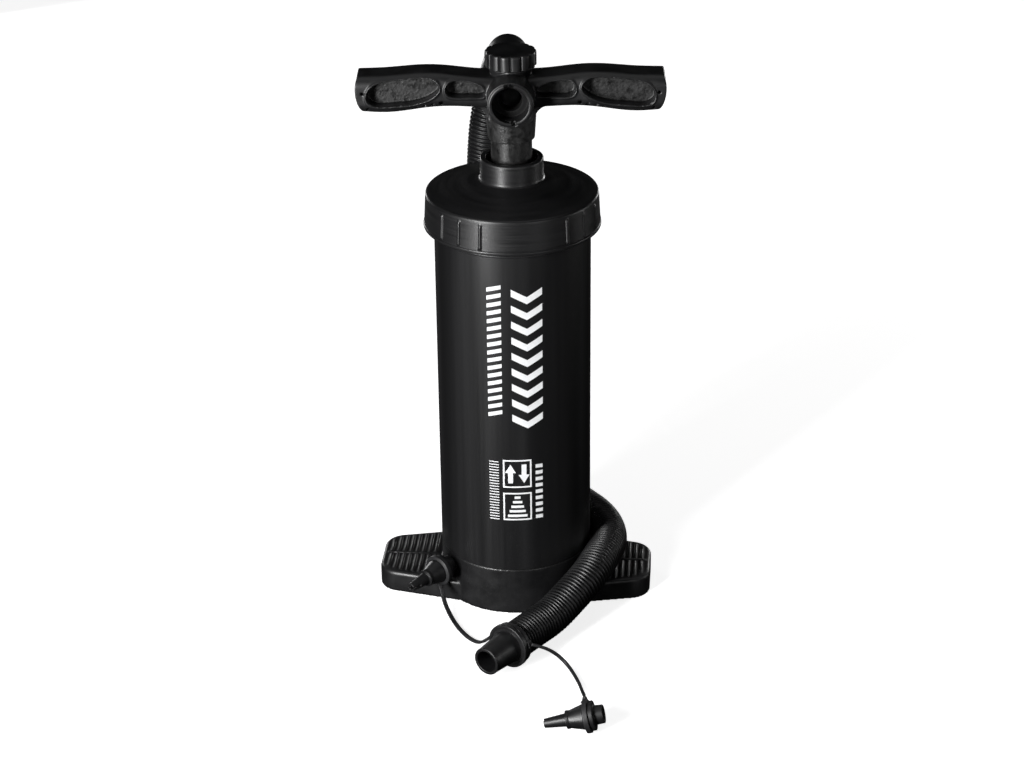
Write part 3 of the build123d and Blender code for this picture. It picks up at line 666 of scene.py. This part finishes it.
def barrel_graphic():
    """The pattern as a thin printed layer that follows the barrel."""
    form = bmesh.new()
    for shape in graphic_shapes():
        form.faces.new([form.verts.new((x, z, 0)) for x, z in shape])
    bmesh.ops.recalc_face_normals(form, faces=form.faces)
    bmesh.ops.triangulate(form, faces=form.faces)
    for x in STRIP_EDGES:
        geometry = list(form.verts) + list(form.edges) + list(form.faces)
        bmesh.ops.bisect_plane(form, geom=geometry, plane_co=(x, 0, 0), plane_no=(1, 0, 0))
    added = bmesh.ops.extrude_face_region(form, geom=list(form.faces))
    lifted = {v for v in added["geom"] if isinstance(v, bmesh.types.BMVert)}
    for vertex in form.verts:
        radius = INK_HIGH if vertex in lifted else INK_LOW
        angle = vertex.co.x / INK_HIGH
        vertex.co = Vector((radius * math.sin(angle), -radius * math.cos(angle), vertex.co.y)) / 1000
    bmesh.ops.recalc_face_normals(form, faces=form.faces)
    mesh = bpy.data.meshes.new("barrel_graphic")
    form.to_mesh(mesh)
    form.free()
    piece = bpy.data.objects.new("barrel_graphic", mesh)
    bpy.context.collection.objects.link(piece)
    return place_piece(piece, "barrel", "barrel_plastic")


# ---- materials ----------------------------------------------------------------------
def add_node(tree, kind, **values):
    """Shader node with some of its sockets or settings given."""
    node = tree.nodes.new(kind)
    for key, value in values.items():
        if key in node.inputs:
            node.inputs[key].default_value = value
        else:
            setattr(node, key, value)
    return node


def moulded_plastic(name, colour, roughness, grain=0.06, grain_size=2500.0, mottle=0.2,
                    stretch=(1, 1, 1), cloud_size=60.0, change=0.2, specular=0.5, depth=0.0002):
    """Plastic: fine moulded grain, cloudy gloss and a slight change of colour."""
    material = bpy.data.materials.new(name)
    material.use_nodes = True
    tree = material.node_tree
    shader = tree.nodes["Principled BSDF"]
    shader.inputs["Specular IOR Level"].default_value = specular
    place = add_node(tree, "ShaderNodeTexCoord")
    scaled = add_node(tree, "ShaderNodeMapping")
    scaled.inputs["Scale"].default_value = stretch
    tree.links.new(place.outputs["Object"], scaled.inputs["Vector"])

    cloud = add_node(tree, "ShaderNodeTexNoise", Scale=cloud_size, Detail=4.0, Roughness=0.6)
    tree.links.new(scaled.outputs["Vector"], cloud.inputs["Vector"])
    gloss = add_node(tree, "ShaderNodeMapRange")
    gloss.inputs["From Min"].default_value = 0.3
    gloss.inputs["From Max"].default_value = 0.7
    gloss.inputs["To Min"].default_value = roughness * (1 - mottle)
    gloss.inputs["To Max"].default_value = roughness * (1 + mottle)
    tree.links.new(cloud.outputs["Fac"], gloss.inputs["Value"])
    tree.links.new(gloss.outputs["Result"], shader.inputs["Roughness"])

    tint = add_node(tree, "ShaderNodeValToRGB")
    tint.color_ramp.elements[0].position = 0.35
    tint.color_ramp.elements[0].color = (*[c * (1 - change) for c in colour], 1)
    tint.color_ramp.elements[1].position = 0.7
    tint.color_ramp.elements[1].color = (*[c * (1 + change) for c in colour], 1)
    tree.links.new(cloud.outputs["Fac"], tint.inputs["Fac"])
    tree.links.new(tint.outputs["Color"], shader.inputs["Base Color"])

    fine = add_node(tree, "ShaderNodeTexNoise", Scale=grain_size, Detail=2.0)
    tree.links.new(scaled.outputs["Vector"], fine.inputs["Vector"])
    bump = add_node(tree, "ShaderNodeBump", Strength=grain, Distance=depth)
    tree.links.new(fine.outputs["Fac"], bump.inputs["Height"])
    tree.links.new(bump.outputs["Normal"], shader.inputs["Normal"])
    return material


BLACK = (0.0075, 0.0075, 0.008)
moulded = moulded_plastic("moulded_black", BLACK, 0.40)
tube_black = moulded_plastic("tube_black", BLACK, 0.38, stretch=(1, 1, 0.02), grain=0.03)
cap_black = moulded_plastic("cap_black", BLACK, 0.40, stretch=(0.3, 0.3, 12), grain=0.05)
hose_black = moulded_plastic("hose_black", (0.008, 0.008, 0.0085), 0.40, grain=0.05, specular=0.4)
grip_black = moulded_plastic("grip_black", (0.009, 0.009, 0.0095), 0.42, grain=0.1)
pocket_rough = moulded_plastic("pocket_rough", (0.012, 0.012, 0.012), 0.50, grain=0.5, grain_size=700.0,
                               mottle=0.4, cloud_size=220.0, change=0.6, depth=0.0003)
sleeve_rough = moulded_plastic("sleeve_rough", (0.015, 0.015, 0.015), 0.42, grain=0.6, grain_size=600.0,
                               mottle=0.35, cloud_size=240.0, change=0.5, depth=0.0004)
# Inside of the inlet port's bore: the darker colour and weak specular are painted shade for the recess;
# the higher roughness is a matt finish.
bore_matt_painted_shade = moulded_plastic("bore_matt_painted_shade", (0.005, 0.005, 0.005), 0.65, grain=0.3, specular=0.15)
rod_black = moulded_plastic("rod_black", (0.011, 0.011, 0.011), 0.40, grain=0.4, grain_size=600.0,
                            mottle=0.35, cloud_size=240.0, change=0.5, depth=0.0003)
rubber = moulded_plastic("rubber_black", (0.014, 0.014, 0.015), 0.5)
inner = moulded_plastic("inner_grey", (0.12, 0.12, 0.125), 0.4)
steel = moulded_plastic("screw_steel", (0.5, 0.5, 0.5), 0.3)
steel.node_tree.nodes["Principled BSDF"].inputs["Metallic"].default_value = 1.0
ink = moulded_plastic("white_ink", (0.78, 0.79, 0.80), 0.45, change=0.05, cloud_size=400.0)

SLOT_LOOKS = {"barrel_plastic": tube_black, "soft_rubber": rubber, "inner_plastic": inner,
              "screw_steel": steel, "hose_plastic": hose_black}
node_slots = {s["node"]: s["material_slot"] for s in frame["record"]["subparts"]}
for node_name, node_object in frame["nodes"].items():
    node_object.data.materials.clear()
    node_object.data.materials.append(SLOT_LOOKS.get(node_slots[node_name], moulded))
frame["nodes"]["rod_tube"].data.materials[0] = rod_black


def coat(piece, material):
    """Give a piece its one material."""
    piece.data.materials.append(material)
    return piece


def softened_piece(name, node, voxel, rounds, body, slot, material):
    """Softened copy of a CAD node, put in its place and coated."""
    return coat(place_piece(softened(name, node, voxel, rounds), body, slot, node), material)


coat(barrel_shell(), tube_black)
coat(screw_cap_shell(), cap_black)
coat(selector_knob(), moulded)
handle_moulding()
softened_piece("foot_moulding", "foot_base", 0.0009, 2, "barrel", "black_plastic", moulded)
coat(foot_treads(), moulded)
softened_piece("elbow_moulding", "hose_elbow", 0.0006, 3, "plunger", "hose_plastic", hose_black)
connector = coat(nozzle(), moulded)
tether = softened_piece("tether_moulding", "tether_ring", 0.0004, 3, "barrel", "soft_rubber", rubber)
for side in ("left", "right"):
    softened_piece(f"{side}_adapter_moulding", f"{side}_adapter", 0.0003, 2,
                                    "barrel", "black_plastic", moulded)
    softened_piece(f"{side}_collar_moulding", f"{side}_collar", 0.0003, 2,
                                   "barrel", "soft_rubber", rubber)
for lip_side, (first, last) in LIP_ARCS.items():
    coat(port_lip(f"port_lip_{lip_side}", first, last), grip_black)
coat(collar_tab("left_tab", left_line, COLLAR_CENTRES["left"]), rubber)
coat(collar_tab("right_tab", right_line, COLLAR_CENTRES["right"]), rubber)
coat(barrel_graphic(), ink)
coat(hose, hose_black)
for leash_piece in (left_leash, right_leash):
    coat(leash_piece, rubber)


# ---- studio -------------------------------------------------------------------------
FLOOR_GLOW = 0.80


def area_light(name, place, target, width, height, power):
    """Soft rectangular light aimed at a point."""
    data = bpy.data.lights.new(name, "AREA")
    data.shape = "RECTANGLE"
    data.size = width
    data.size_y = height
    data.energy = power
    light = bpy.data.objects.new(name, data)
    aim = (Vector(target) - Vector(place)).to_track_quat("-Z", "Y")
    light.matrix_world = Matrix.Translation(place) @ aim.to_matrix().to_4x4()
    bpy.context.collection.objects.link(light)


def studio():
    """Pale floor and backdrop that don't tint the black plastic, and soft lights."""
    corners = [(-30, -30, 0), (30, -30, 0), (30, 30, 0), (-30, 30, 0)]
    floor = new_piece("floor", corners, [(0, 1, 2, 3)], False)
    pale = moulded_plastic("floor_white", (0.80, 0.80, 0.80), 0.9, grain=0.0, mottle=0.02,
                           cloud_size=2.0, change=0.01, specular=0.1)
    glow = pale.node_tree.nodes["Principled BSDF"]
    glow.inputs["Emission Color"].default_value = (1, 1, 1, 1)
    glow.inputs["Emission Strength"].default_value = FLOOR_GLOW
    floor.data.materials.append(pale)
    floor.visible_glossy = False
    floor.visible_diffuse = False
    world = bpy.data.worlds.new("studio")
    world.use_nodes = True
    world.node_tree.nodes["Background"].inputs["Color"].default_value = (1, 1, 1, 1)
    world.node_tree.nodes["Background"].inputs["Strength"].default_value = 1.0
    world.cycles_visibility.glossy = False
    world.cycles_visibility.diffuse = False
    bpy.context.scene.world = world
    area_light("key", (-1.05, -1.35, 0.50), (0, 0, 0.24), 0.30, 1.3, 62)
    area_light("low_fill", (0.9, -1.5, 0.5), (0, 0, 0.2), 0.5, 0.9, 3)
    area_light("back_left", (-0.9, 1.5, 0.28), (0, 0, 0.2), 0.4, 0.4, 5)
    area_light("back_right", (0.9, 1.5, 0.28), (0, 0, 0.2), 0.4, 0.4, 5)
    area_light("right", (1.7, 0.2, 0.30), (0, 0, 0.2), 0.4, 0.5, 3.5)
    area_light("top", (0.0, 0.3, 2.2), (0, 0, 0.25), 2.2, 1.6, 5)


studio()
bpy.context.scene.view_settings.view_transform = "Standard"
